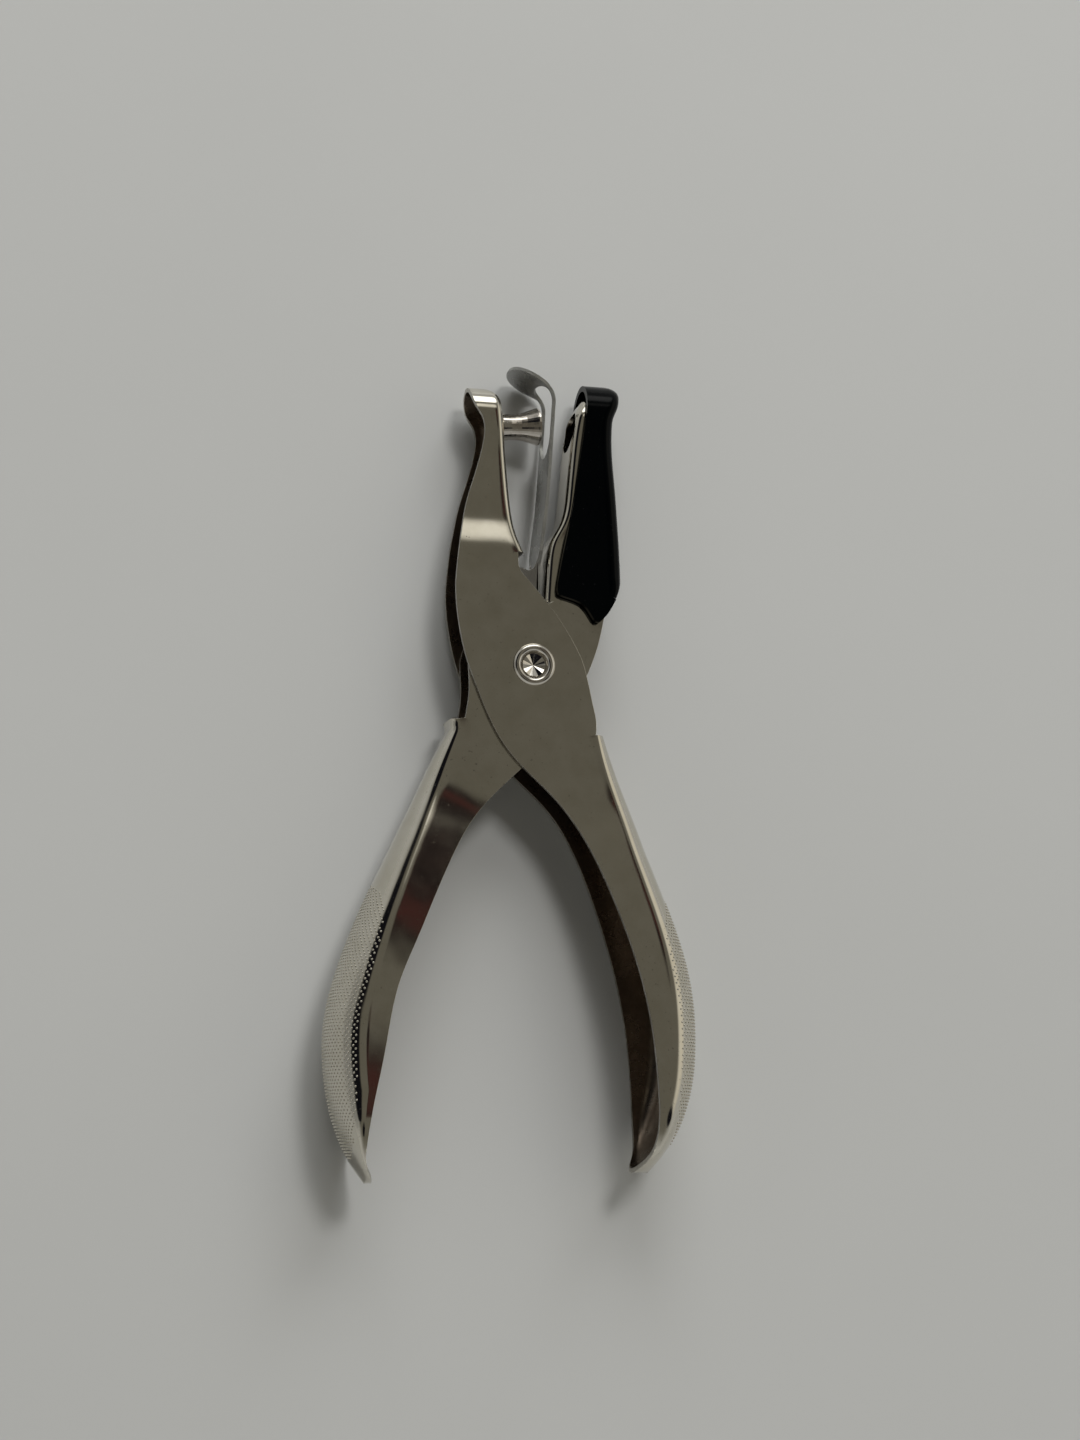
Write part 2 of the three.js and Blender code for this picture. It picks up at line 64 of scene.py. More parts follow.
# ---- Sizes of the punch, in millimetres round the pivot ------------------------------------

SHEET = 0.75
OUTER_HALF = 4.6
INNER_HALF = 3.7
JAW_HALF = 4.0
GRIP_HALF = 8.6
JAW_BEND = 1.2
RUNNING_FIT = 0.06
TIP_LENGTH = 4.4
GRIP_END_LENGTH = 11

OUTER_SWELL_WAY = (0.37, -0.93)
OUTER_TOP, OUTER_BOTTOM = 48.0, -82.7
OUTER_JAW_FOOT, OUTER_GRIP_TOP = 19.1, -11.3
OUTER_OPEN = [
    (48, -10.8), (46, -10.5), (44, -9.9), (42, -8.6), (39.8, -8.3), (37, -8.7), (31.4, -10.2),
    (27.4, -11.4), (18.7, -12.8), (12, -13.3), (3.5, -12.2), (-6.3, -8.8), (-12, -6.2),
    (-16.9, -2.5), (-21.6, 3.3), (-27.3, 7.6), (-33, 10.6), (-45.7, 15.5), (-53.5, 17.7),
    (-62.2, 19.2), (-75, 20), (-79.8, 19.4), (-82.7, 17.4),
]
OUTER_JAW_WEB = [
    (48, -7.3), (47.2, -6.2), (46, -5.5), (44, -5.2), (41.7, -5), (36.9, -4.65), (28.2, -3.9),
    (24, -3.3), (20.6, -2.3), (19, -1.5),
]
OUTER_EDGE = [
    (19.1, -2.7), (17.5, -2.7), (16.4, -2.6), (14, -0.6), (11.1, 1.9), (7.8, 4.5), (3.7, 7),
    (0.8, 8.4), (-2.2, 9.2), (-5.5, 9.9), (-9.8, 10.7), (-11.3, 10.6),
]
OUTER_GRIP_WEB = [
    (-11.3, 12.1), (-15.5, 13.7), (-19.8, 15.5), (-27.9, 18.8), (-35.8, 22), (-44.5, 25.3),
    (-51.8, 27.3), (-58.8, 28), (-65.5, 27.9), (-70, 27.1), (-73.9, 25.9), (-77.8, 24),
    (-82.7, 20.2),
]

INNER_SWELL_WAY = (-0.43, -0.9)
INNER_TOP, INNER_BOTTOM = 47.6, -84.3
INNER_JAW_FOOT, INNER_GRIP_TOP = 11.0, -9.4
INNER_OPEN = [
    (47.6, 12), (44, 12.1), (30, 12.5), (20, 12.9), (12, 12.9), (8.9, 12.3), (4.1, 11.4),
    (-1.1, 9.4), (-8, 6), (-14, 1.6), (-17.6, -2.2), (-22.5, -7.4), (-25.5, -10), (-30, -12.6),
    (-37.9, -16.3), (-45.2, -19.4), (-54.1, -23.2), (-65, -25.2), (-76.5, -27.4), (-80.5, -27.6),
    (-84.3, -25.6),
]
INNER_JAW_WEB = [
    (47.6, 10.1), (46.7, 9), (45.5, 8.25), (43.9, 7.65), (39.4, 6.85), (33, 6.2), (27.1, 5.6),
    (24.5, 4.9), (22.6, 3.7), (21, 2.9), (19, 2.65), (12.2, 2.2), (11, 2.1),
]
INNER_EDGE = [
    (11, 3.3), (10.1, 0.5), (9, -5), (6.5, -8.6), (1, -10.9), (-4, -10.7), (-8.4, -11.2),
    (-9.4, -11.4),
]
INNER_GRIP_WEB = [
    (-9.4, -12.7), (-10.8, -13.5), (-13, -14.9), (-21.6, -18.8), (-29.3, -22.5), (-39.1, -27),
    (-46.9, -30.2), (-53.1, -32.2), (-60.1, -33.6), (-65.4, -33.5), (-71.3, -32.7),
    (-75.3, -31.6), (-80, -29.4), (-84.3, -26.7),
]

COVER_WALL = 0.95
COVER_HALF = 5.1
COVER_TOP, COVER_BOTTOM = 49.8, 7.7
COVER_WEB_FOOT = 12.0
COVER_OPEN = [
    (49.8, 9.3), (45.5, 9.2), (42.5, 8.9), (38.9, 8.4), (26.7, 6.5), (16.3, 4.4), (13, 3.9),
    (12.1, 3.9), (11.4, 6.5), (10.7, 8.3), (9.4, 9.4), (8.1, 10.2), (7.7, 10.7),
]
COVER_BACK = [
    (49.8, 14.1), (49.1, 14.9), (48, 15.3), (45.8, 15), (42.8, 13.9), (39.2, 13.75),
    (28.8, 14.45), (18.5, 15.05), (15.1, 15.15), (13, 14.6), (10.7, 13.5), (9, 12.5),
    (7.7, 11.2),
]


# ---- Curves --------------------------------------------------------------------------------


def curve(points):
    """A smooth curve through (place, value) points that doesn't overshoot between them."""
    points = sorted(points)
    xs = np.array([p[0] for p in points], float)
    ys = np.array([p[1] for p in points], float)
    rise = np.diff(ys) / np.diff(xs)
    slope = np.zeros(len(xs))
    slope[0], slope[-1] = rise[0], rise[-1]
    for i in range(1, len(xs) - 1):
        product = rise[i - 1] * rise[i]
        slope[i] = 2 * product / (rise[i - 1] + rise[i]) if product > 0 else 0

    def value(place_):
        x = min(max(place_, xs[0]), xs[-1])
        i = min(max(int(np.searchsorted(xs, x)) - 1, 0), len(xs) - 2)
        width = xs[i + 1] - xs[i]
        t = (x - xs[i]) / width
        lean = (1 - t) * slope[i] * width - t * slope[i + 1] * width
        return ys[i] + (ys[i + 1] - ys[i]) * t * t * (3 - 2 * t) + t * (1 - t) * lean

    return value


def fair(points, reach):
    """The curve through the points with its small waves evened out over reach(place) mm."""
    step, passes = 0.25, 300
    raw = curve(points)
    low, high = min(p[0] for p in points), max(p[0] for p in points)
    xs = np.arange(low, high + step, step)
    ys = np.array([raw(x) for x in xs])
    weight = np.array([min(reach(x) ** 2 / (2 * passes * step * step), 0.25) for x in xs])
    for _ in range(passes):
        bend = ys[:-2] - 2 * ys[1:-1] + ys[2:]
        ys[1:-1] += weight[1:-1] * bend
    return lambda x: float(np.interp(x, xs, ys))


def end_round(distance, length):
    """Rises from 0 to 1 over a rounded end, as an ellipse does."""
    t = min(max(distance / length, 0), 1)
    return math.sqrt(max(1 - (1 - t) ** 2, 0))


def heights(top, bottom, marks, step, top_length, bottom_length=0):
    """Heights of the rings from top to bottom, close together round the ends and the marks."""
    ys = set()
    y = top
    while y > bottom:
        ys.add(round(y, 4))
        y -= step
    for mark in marks:
        ys.update((mark, mark + 0.25, mark - 0.25))
    rounds = 14
    for k in range(rounds + 1):
        ease = 1 - math.cos(k / rounds * math.pi / 2)
        ys.add(round(top - top_length * ease, 4))
        if bottom_length:
            ys.add(round(bottom + bottom_length * ease, 4))
    ys.add(bottom)
    ordered = sorted((y for y in ys if bottom <= y <= top), reverse=True)
    kept = [ordered[0]]
    for y in ordered[1:]:
        near_end = top - y < 0.6 or y - bottom < 0.6
        if y in marks or kept[-1] - y > (0.015 if near_end else 0.14):
            kept.append(y)
    if kept[-1] != bottom:
        kept.append(bottom)
    return kept


# ---- Meshes --------------------------------------------------------------------------------


def add_object(name, mesh):
    obj = bpy.data.objects.new(name, mesh)
    bpy.context.scene.collection.objects.link(obj)
    return obj


def mesh_object(name, points, faces, weld=0.0):
    """A mesh object from points in millimetres round the pivot."""
    mesh = bpy.data.meshes.new(name)
    mesh.from_pydata([place(*p) for p in points], [], faces)
    if weld:
        bm = bmesh.new()
        bm.from_mesh(mesh)
        bmesh.ops.remove_doubles(bm, verts=bm.verts, dist=weld * MM)
        bmesh.ops.recalc_face_normals(bm, faces=bm.faces)
        outward = sum(f.normal.z * (f.calc_center_median().z - PIVOT.z) for f in bm.faces)
        if outward < 0:
            bmesh.ops.reverse_faces(bm, faces=bm.faces)
        bm.to_mesh(mesh)
        bm.free()
    mesh.polygons.foreach_set("use_smooth", [True] * len(mesh.polygons))
    return add_object(name, mesh)


def modifier(obj, kind, **settings):
    added = obj.modifiers.new(kind.title(), kind)
    for name, value in settings.items():
        setattr(added, name, value)
    return added


def apply_all(obj):
    """Turns the object's modifiers into plain mesh."""
    graph = bpy.context.evaluated_depsgraph_get()
    done = bpy.data.meshes.new_from_object(obj.evaluated_get(graph), depsgraph=graph)
    old = obj.data
    obj.modifiers.clear()
    obj.data = done
    bpy.data.meshes.remove(old)


def soften(obj, width, segments=2, angle=50, clamp=False):
    """Rounds the object's sharp edges by a width in millimetres and keeps its flats flat."""
    modifier(obj, "BEVEL", width=width * MM, segments=segments, limit_method="ANGLE",
             angle_limit=math.radians(angle), use_clamp_overlap=clamp, harden_normals=True)


def cylinder(radius, low, high, sides=72):
    """Points and faces of a closed cylinder along Z, at the origin."""
    points, faces = [], []
    for z in (low, high):
        for k in range(sides):
            a = 2 * math.pi * k / sides
            points.append(Vector((radius * math.cos(a), radius * math.sin(a), z)))
    for k in range(sides):
        m = (k + 1) % sides
        faces.append((k, m, sides + m, sides + k))
    faces.append(tuple(reversed(range(sides))))
    faces.append(tuple(range(sides, 2 * sides)))
    return points, faces


def drill(obj, radius, low, high, turn=Matrix()):
    """Cuts a round hole along Z, after turning the drill by a matrix in millimetres."""
    points, faces = cylinder(radius, low, high)
    tool = mesh_object("drill", [tuple(turn @ p) for p in points], faces)
    modifier(obj, "BOOLEAN", object=tool, operation="DIFFERENCE", solver="EXACT")
    apply_all(obj)
    bpy.data.objects.remove(tool)


# ---- Folded sheet --------------------------------------------------------------------------

PLATE_COLUMNS = 9
FOLD_COLUMNS = 34


def section(open_x, web_x, edge_x, half, bend, rise):
    """One ring across a channel: rear plate, fold and web, front plate."""
    side = 1 if web_x > open_x else -1
    plate_end = web_x - side * bend if edge_x is None else edge_x
    fold = []
    steps = 24
    for k in range(steps + 1):
        a = (k / steps - 1) * math.pi / 2
        x = web_x - side * bend * (1 - math.cos(a))
        fold.append((x, -(half(x) - rise) + rise * math.sin(a)))
    fold += [(x, -z) for x, z in reversed(fold)]
    fold = np.array(fold)
    steps_length = np.hypot(*np.diff(fold, axis=0).T)
    run = np.concatenate([[0], np.cumsum(steps_length)])
    if run[-1] <= 0:
        run = np.linspace(0, 1, len(run))
    wanted = np.linspace(0, run[-1], FOLD_COLUMNS + 1)
    arc = [(float(np.interp(w, run, fold[:, 0])), float(np.interp(w, run, fold[:, 1])))
           for w in wanted]
    plate = []
    for k in range(PLATE_COLUMNS):
        x = open_x + (plate_end - open_x) * k / PLATE_COLUMNS
        plate.append((x, -half(x)))
    if edge_x is not None:
        arc[0] = (edge_x, -half(edge_x))
        arc[-1] = (edge_x, half(edge_x))
    return plate + arc + [(x, -z) for x, z in reversed(plate)]


class Channel:
    """A folded sheet channel: where its surface is, and its rings."""

    def __init__(self, top, bottom, open_x, webs, edge, half, bend, rise, tips):
        self.top, self.bottom = top, bottom
        self.open_x, self.webs, self.edge = open_x, webs, edge
        self.half, self.bend, self.rise, self.tips = half, bend, rise, tips

    def web_at(self, y):
        for low, high, web in self.webs:
            if low <= y <= high:
                return web
        return None

    def scale(self, y):
        tip = end_round(self.top - y, self.tips[0])
        return tip * (end_round(y - self.bottom, self.tips[1]) if self.tips[1] else 1)

    def ring(self, y, web):
        open_x = self.open_x(y)
        scale = self.scale(y)

        def half(x):
            return self.half(x, y) * scale

        if web is None:
            edge = self.edge(y)
            return section(open_x, edge, edge, half, 0.001, 0.001)
        web_x = web(y)
        bend = min(self.bend(y), abs(web_x - open_x) * 0.8)
        rise = min(self.rise(y), half(web_x) * 0.985)
        return section(open_x, web_x, None, half, bend, rise)

    def build(self, name, sheet, step, marks, materials):
        ys = heights(self.top, self.bottom, marks, step, *self.tips)
        rows = [(y, self.web_at(y)) for y in ys]
        width = 2 * PLATE_COLUMNS + FOLD_COLUMNS + 1
        points, faces = [], []
        for y, web in rows:
            points += [(x, y, z) for x, z in self.ring(y, web)]
        first_fold, last_fold = PLATE_COLUMNS, PLATE_COLUMNS + FOLD_COLUMNS
        for r in range(len(rows) - 1):
            folded = rows[r][1] is not None and rows[r][1] is rows[r + 1][1]
            for c in range(width - 1):
                if not folded and first_fold <= c < last_fold:
                    continue
                a = r * width + c
                faces.append((a, a + 1, a + 1 + width, a + width))
        obj = mesh_object(name, points, faces, weld=0.004)
        loose = bmesh.new()
        loose.from_mesh(obj.data)
        bmesh.ops.delete(loose, geom=[v for v in loose.verts if not v.link_faces],
                         context="VERTS")
        loose.to_mesh(obj.data)
        loose.free()
        dress(obj, *materials)
        modifier(obj, "SOLIDIFY", thickness=sheet * MM, offset=-1, use_even_offset=True,
                 use_rim=True, material_offset=1, material_offset_rim=2)
        apply_all(obj)
        return obj


HEAD_FOOT = 5
SWELL = [(0, 0), (23, 0), (33, 0.26), (43, 0.55), (52, 0.78), (64, 0.96), (72, 1), (100, 1)]
swell = fair(SWELL, lambda distance: 2.0)


def handle_swell(start):
    """Half width of a handle by its distance from the pivot, from its width at the head."""
    return lambda distance: start + (GRIP_HALF - start) * swell(distance)


def along(way, x, y):
    """How far (x, y) is from the pivot in a handle's direction."""
    return way[0] * x + way[1] * y


def fold_depth():
    """How far a lever's fold reaches into its plates, by height."""
    return fair([(60, JAW_BEND), (-9, JAW_BEND), (-14, 2.2), (-25, 3.4), (-40, 4.6), (-60, 5.6),
                 (-74, 5), (-85, 2)], lambda y: 2)


def fold_rise():
    """How far a lever's fold reaches across its web from each plate, by height."""
    return fair([(60, JAW_BEND), (-9, JAW_BEND), (-14, 2.6), (-25, 4.2), (-40, GRIP_HALF),
                 (-85, GRIP_HALF)], lambda y: 2)


def jaw_reach(y):
    return 0.5 if y > 40 else 1.2


def open_reach(y):
    return 0.5 if y > 36 else (2.5 if -76 < y < 12 else 1.0)


def grip_reach(y):
    return min(3.0, 0.4 * (y + 86))


FLARE, FLARE_LENGTH = 1.1, 1.9


def flared(web):
    """The inner lever's web with its top edge curled a little outward."""
    return lambda y: web(y) - FLARE * max(1 - (INNER_GRIP_TOP - y) / FLARE_LENGTH, 0) ** 2


bend_depth, bend_rise = fold_depth(), fold_rise()
outer_head = fair([(60, JAW_HALF + 0.1), (48, JAW_HALF + 0.1), (42, JAW_HALF + 0.15),
                   (36, JAW_HALF - 0.1), (25.5, JAW_HALF), (19, OUTER_HALF),
                   (-90, OUTER_HALF)], lambda y: 0.5)
inner_head = fair([(60, JAW_HALF), (25.5, JAW_HALF), (20.5, INNER_HALF), (-90, INNER_HALF)],
                  lambda y: 0.5)
outer_swell, inner_swell = handle_swell(OUTER_HALF), handle_swell(INNER_HALF)

OUTER = Channel(
    OUTER_TOP, OUTER_BOTTOM, fair(OUTER_OPEN, open_reach),
    [(OUTER_JAW_FOOT, OUTER_TOP, fair(OUTER_JAW_WEB, jaw_reach)),
     (OUTER_BOTTOM, OUTER_GRIP_TOP, fair(OUTER_GRIP_WEB, grip_reach))],
    fair(OUTER_EDGE, lambda y: 0.5),
    lambda x, y: outer_head(y) if y > HEAD_FOOT else outer_swell(along(OUTER_SWELL_WAY, x, y)),
    bend_depth, bend_rise, (TIP_LENGTH, GRIP_END_LENGTH))
INNER = Channel(
    INNER_TOP, INNER_BOTTOM, fair(INNER_OPEN, open_reach),
    [(INNER_JAW_FOOT, INNER_TOP, fair(INNER_JAW_WEB, jaw_reach)),
     (INNER_BOTTOM, INNER_GRIP_TOP, flared(fair(INNER_GRIP_WEB, grip_reach)))],
    fair(INNER_EDGE, lambda y: 0.3),
    lambda x, y: inner_head(y) if y > HEAD_FOOT else inner_swell(along(INNER_SWELL_WAY, x, y)),
    bend_depth, bend_rise, (TIP_LENGTH, GRIP_END_LENGTH))
cover_fold = curve([(60, 1.7), (16, 1.7), (12, 0.6), (0, 0.6)])
COVER = Channel(
    COVER_TOP, COVER_BOTTOM, fair(COVER_OPEN, lambda y: 0.25),
    [(COVER_WEB_FOOT, COVER_TOP, fair(COVER_BACK, lambda y: 0.5))],
    fair(COVER_BACK, lambda y: 0.5),
    lambda x, y: COVER_HALF, cover_fold, cover_fold, (5.0, 0))


# ---- Materials -----------------------------------------------------------------------------


class Nodes:
    """A short way to write a material's node tree."""

    def __init__(self, tree):
        self.tree = tree
        tree.nodes.clear()

    def add(self, kind, inputs=None, **settings):
        node = self.tree.nodes.new("ShaderNode" + kind)
        for name, value in settings.items():
            setattr(node, name, value)
        for name, value in (inputs or {}).items():
            if isinstance(value, bpy.types.NodeSocket):
                self.tree.links.new(value, node.inputs[name])
            else:
                node.inputs[name].default_value = value
        return node

    def noise(self, scale, detail=4.0, rough=0.5, vector=None):
        inputs = {"Scale": scale, "Detail": detail, "Roughness": rough}
        if vector is not None:
            inputs["Vector"] = vector
        return self.add("TexNoise", inputs).outputs["Fac"]

    def remap(self, value, low, high, new_low, new_high):
        return self.add("MapRange", {"Value": value, "From Min": low, "From Max": high,
                                     "To Min": new_low, "To Max": new_high}).outputs["Result"]

    def math(self, operation, a, b):
        return self.add("Math", {0: a, 1: b}, operation=operation).outputs["Value"]

    def mix(self, factor, a, b):
        node = self.add("Mix", data_type="RGBA")
        colours = [s for s in node.inputs if s.type == "RGBA"]
        for socket, value in ((node.inputs[0], factor), (colours[0], a), (colours[1], b)):
            if isinstance(value, bpy.types.NodeSocket):
                self.tree.links.new(value, socket)
            else:
                socket.default_value = value
        return [s for s in node.outputs if s.type == "RGBA"][0]


def rgba(r, g, b):
    return (r, g, b, 1.0)


def new_material(name):
    material = bpy.data.materials.new(name)
    material.use_nodes = True
    return material, Nodes(material.node_tree)


def metal(name, colour, stain, rough, wave=0.004, grain=0.0, grain_scale=2500):
    """Plated steel: faint haze, specks and fine marks over a bright metal."""
    material, n = new_material(name)
    where = n.add("TexCoord").outputs["Object"]
    haze = n.noise(220, 5, 0.6, where)
    specks = n.remap(n.noise(1900, 2, 0.5, where), 0.68, 0.74, 0, 1)
    base = n.mix(n.remap(haze, 0.35, 0.7, 0, 1), colour, stain)
    base = n.mix(n.math("MULTIPLY", specks, 0.35), base, rgba(0.12, 0.11, 0.09))
    roughness = n.remap(haze, 0.3, 0.75, rough * 0.8, rough * 1.5)
    roughness = n.math("ADD", roughness, n.math("MULTIPLY", specks, 0.15))
    soft = n.noise(70, 2, 0.5, where)
    fine = n.noise(grain_scale, 3, 0.6, where)
    height = n.math("ADD", n.math("MULTIPLY", soft, wave),
                    n.math("MULTIPLY", fine, grain))
    bump = n.add("Bump", {"Strength": 1.0, "Distance": 0.1, "Height": height}).outputs["Normal"]
    shader = n.add("BsdfPrincipled", {"Base Color": base, "Metallic": 1.0,
                                      "Roughness": roughness, "Normal": bump})
    n.add("OutputMaterial", {"Surface": shader.outputs["BSDF"]})
    return material


def plastic(name, colour, dust, rough):
    """Glossy moulded plastic with a trace of dust and fine scuffs."""
    material, n = new_material(name)
    where = n.add("TexCoord").outputs["Object"]
    haze = n.noise(160, 5, 0.6, where)
    specks = n.remap(n.noise(2100, 2, 0.5, where), 0.7, 0.76, 0, 1)
    base = n.mix(n.math("MULTIPLY", specks, 0.25), colour, dust)
    roughness = n.remap(haze, 0.3, 0.75, rough * 0.7, rough * 1.6)
    height = n.math("MULTIPLY", n.noise(900, 3, 0.6, where), 0.00008)
    bump = n.add("Bump", {"Strength": 1.0, "Distance": 0.1, "Height": height}).outputs["Normal"]
    shader = n.add("BsdfPrincipled", {"Base Color": base, "Roughness": roughness,
                                      "IOR": 1.45, "Specular IOR Level": 0.10,
                                      "Normal": bump})
    n.add("OutputMaterial", {"Surface": shader.outputs["BSDF"]})
    return material


nickel = metal("nickel plate", rgba(0.66, 0.63, 0.56), rgba(0.60, 0.57, 0.49), 0.085, wave=0.0012)
# The inner faces of the folded sheet get a much darker colour than the outer nickel: painted
# shade inside the channels.
nickel_painted_shade_inside = metal("plating inside with painted shade", rgba(0.30, 0.25, 0.20), rgba(0.17, 0.13, 0.10), 0.26,
                      grain=0.0002)
cut_edge = metal("sheared edge", rgba(0.55, 0.53, 0.48), rgba(0.30, 0.28, 0.24), 0.3,
                 grain=0.002)
pin_steel = metal("turned steel", rgba(0.68, 0.65, 0.60), rgba(0.55, 0.50, 0.45), 0.14)
strip_steel = metal("spring strip", rgba(0.46, 0.46, 0.45), rgba(0.42, 0.42, 0.41), 0.24,
                    wave=0.0003, grain=0.00005)
strip_edge = metal("sheared strip edge", rgba(0.50, 0.50, 0.48), rgba(0.28, 0.28, 0.27), 0.4,
                   grain=0.0006, grain_scale=3500)
rivet_steel = metal("rivet plate", rgba(0.74, 0.71, 0.66), rgba(0.60, 0.56, 0.50), 0.1)
wire_steel = metal("spring wire", rgba(0.45, 0.43, 0.40), rgba(0.33, 0.31, 0.28), 0.25)
black = plastic("black plastic", rgba(0.0002, 0.0006, 0.0009), rgba(0.02, 0.02, 0.02), 0.12)


def dress(obj, *materials):
    """Gives the object these materials and no others."""
    obj.data.materials.clear()
    for material in materials:
        obj.data.materials.append(material)


def finish_piece(obj, body, slot, node, *materials):
    """Puts a piece on its body, in place of a CAD node if it has one; its slot is not used."""
    if materials:
        dress(obj, *materials)
    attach(obj, body)
    if node:
        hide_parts(node)


# ---- Levers and cover ----------------------------------------------------------------------

PUNCH_ROOT = Vector((-4.75, 41.7, 0))
PUNCH_TILT = math.radians(4.6)
PIN_TAIL_RADIUS = 1.7
DIE_RADIUS = 3.45
CLOSING_ANGLE = math.radians(SQUEEZE["range_deg"][1])
RIVET_RADIUS = 2.5
EDGE_ROUND = {"outer": 0.08, "inner": 0.05, "cover": 0.2, "strip": 0.06}

along_punch = (Matrix.Translation(PUNCH_ROOT) @ Matrix.Rotation(PUNCH_TILT, 4, "Z")
               @ Matrix.Rotation(math.pi / 2, 4, "Y"))
# Outer faces, inner faces with painted shade, and cut edges.
steel_sheet = (nickel, nickel_painted_shade_inside, cut_edge)

outer = OUTER.build("outer_lever_shell", SHEET, 0.8, [OUTER_JAW_FOOT, OUTER_GRIP_TOP],
                    steel_sheet)
drill(outer, RIVET_RADIUS + RUNNING_FIT, -10, 10)
drill(outer, PIN_TAIL_RADIUS, -3, 2, along_punch)
soften(outer, EDGE_ROUND["outer"])
finish_piece(outer, "punch_lever", "plated_steel", "outer_lever")

inner = INNER.build("inner_lever_shell", SHEET, 0.8,
                    [INNER_JAW_FOOT, INNER_GRIP_TOP, 10.7, 10.4, 10.1, 9.8, 9.5, 9.2],
                    steel_sheet)
drill(inner, RIVET_RADIUS + RUNNING_FIT, -10, 10)
drill(inner, DIE_RADIUS, 2.5, 9, Matrix.Rotation(-CLOSING_ANGLE, 4, "Z") @ along_punch)
soften(inner, EDGE_ROUND["inner"])
finish_piece(inner, "die_lever", "plated_steel", "inner_lever")

cover = COVER.build("chip_cover_shell", COVER_WALL, 0.8, [COVER_WEB_FOOT, 11.7, 11.4, 11.1],
                    (black, black, black))
soften(cover, EDGE_ROUND["cover"], 3, clamp=True)
finish_piece(cover, "cover", "black_plastic", "chip_cover")


# ---- Knurling ------------------------------------------------------------------------------

KNURL_PITCH = 0.86
KNURL_RADIUS = 0.21
KNURL_HEIGHT = 0.14
KNURL_ROW = 0.62 * KNURL_PITCH
KNURL_HALF = 9.6
DOT_RINGS = ((1.0, -0.4), (0.8, 0.45), (0.42, 0.9))


def dot(points, faces, centre, normal):
    """Adds one low raised dot to a list of points and faces."""
    sides = 8
    turn = normal.to_track_quat("Z", "Y").to_matrix()
    first = len(points)
    for radius, height in DOT_RINGS:
        for k in range(sides):
            a = 2 * math.pi * k / sides
            local = Vector((radius * KNURL_RADIUS * math.cos(a),
                            radius * KNURL_RADIUS * math.sin(a), height * KNURL_HEIGHT))
            points.append(centre + turn @ local)
    points.append(centre + normal * KNURL_HEIGHT)
    rings = len(DOT_RINGS)
    for ring in range(rings - 1):
        for k in range(sides):
            m = (k + 1) % sides
            a, b = first + ring * sides + k, first + ring * sides + m
            faces.append((a, b, b + sides, a + sides))
    last = first + (rings - 1) * sides
    for k in range(sides):
        faces.append((last + k, last + (k + 1) % sides, first + rings * sides))
    faces.append(tuple(first + k for k in reversed(range(sides))))


def knurl(name, channel, body, high, low):
    """Rows of dots across the back of a handle, in an oval patch from high to low."""

    def arc(y):
        ring = channel.ring(y, channel.web_at(y))
        fold = ring[PLATE_COLUMNS:PLATE_COLUMNS + FOLD_COLUMNS + 1]
        pts = np.array([(x, y, z) for x, z in fold])
        steps = np.linalg.norm(np.diff(pts, axis=0), axis=1)
        run = np.concatenate([[0], np.cumsum(steps)])
        return pts, run - run[-1] / 2

    def at(y, t):
        pts, run = arc(y)
        return Vector([float(np.interp(t, run, pts[:, k])) for k in range(3)])

    points, faces = [], []
    y, row = high, 0
    while y > low:
        reach = (high - low) / 2
        taper = math.sqrt(max(1 - ((y - (high + low) / 2) / reach) ** 4, 0))
        limit = min(KNURL_HALF * taper, arc(y)[1][-1] - 0.3)
        count = int(limit / KNURL_PITCH) + 1
        for j in range(-count, count + 1):
            t = (j + 0.5 * (row % 2)) * KNURL_PITCH
            if abs(t) > limit:
                continue
            here = at(y, t)
            across = at(y, t + 0.1) - at(y, t - 0.1)
            down = at(y - 0.2, t) - at(y + 0.2, t)
            normal = across.cross(down).normalized()
            side = 1 if channel.web_at(y)(y) > channel.open_x(y) else -1
            if normal.x * side < 0:
                normal = -normal
            dot(points, faces, here, normal)
        slope = channel.web_at(y)(y - 0.5) - channel.web_at(y)(y + 0.5)
        y -= KNURL_ROW / math.hypot(1, slope)
        row += 1
    obj = mesh_object(name, [tuple(p) for p in points], faces)
    finish_piece(obj, body, "plated_steel", None, nickel)


knurl("outer_grip_dots", OUTER, "punch_lever", -38.0, -79.0)
knurl("inner_grip_dots", INNER, "die_lever", -37.0, -80.5)


# ---- Stripper ------------------------------------------------------------------------------

STRIP = 0.6
STRIP_COLUMNS = 5
STRIP_HALF = 3.8
SLOT_HALF = 3.4
SLOT_FOOT = 40.1
EAR_HALF = 2.75
EAR_RADIUS = 4.3
TAB_END = (-3.6, 51.45)


def bezier(a, b, c, d, t):
    return ((1 - t) ** 3 * a + 3 * t * (1 - t) ** 2 * b + 3 * t * t * (1 - t) * c + t ** 3 * d)


def strip_line():
    """The strip's punch side seen edge on, from its foot to the end of the tab."""
    throat = fair([(12.5, 0.75), (16, 0.9), (20, 1.15), (27, 2), (34, 2.6), (41, 3.05),
                   (45.4, 3.35)], lambda y: 1.0)
    near_slot = [SLOT_FOOT - SLOT_HALF + d for d in (0, 0.04, 0.16, 0.4, 0.8, 1.4, 2.2)]
    ys = sorted({round(v, 3) for v in [*np.arange(12.5, 45.4, 0.8), 17.8, 19.6, *near_slot]})
    line = [(throat(y), y) for y in ys if y <= 45.3]
    for k in range(15):
        t = k / 14
        line.append(tuple((1 - t) ** 2 * a + 2 * t * (1 - t) * b + t * t * c
                          for a, b, c in zip((3.35, 45.4), (3.55, 47.75), (1.7, 48.7))))
    ease = [0.04 * k for k in range(1, 22)] + [0.87, 0.9, 0.93, 0.955, 0.975, 0.99, 0.998]
    for t in ease:
        line.append((1.7 + (TAB_END[0] - 1.7) * t, 48.7 + (TAB_END[1] - 48.7) * t))
    return line


FOOT = [(bezier(2.6, 1.4, -3.4, -3.6, t), bezier(3.8, 5.1, 5.9, 0, t))
        for t in np.linspace(0, 1, 80)]


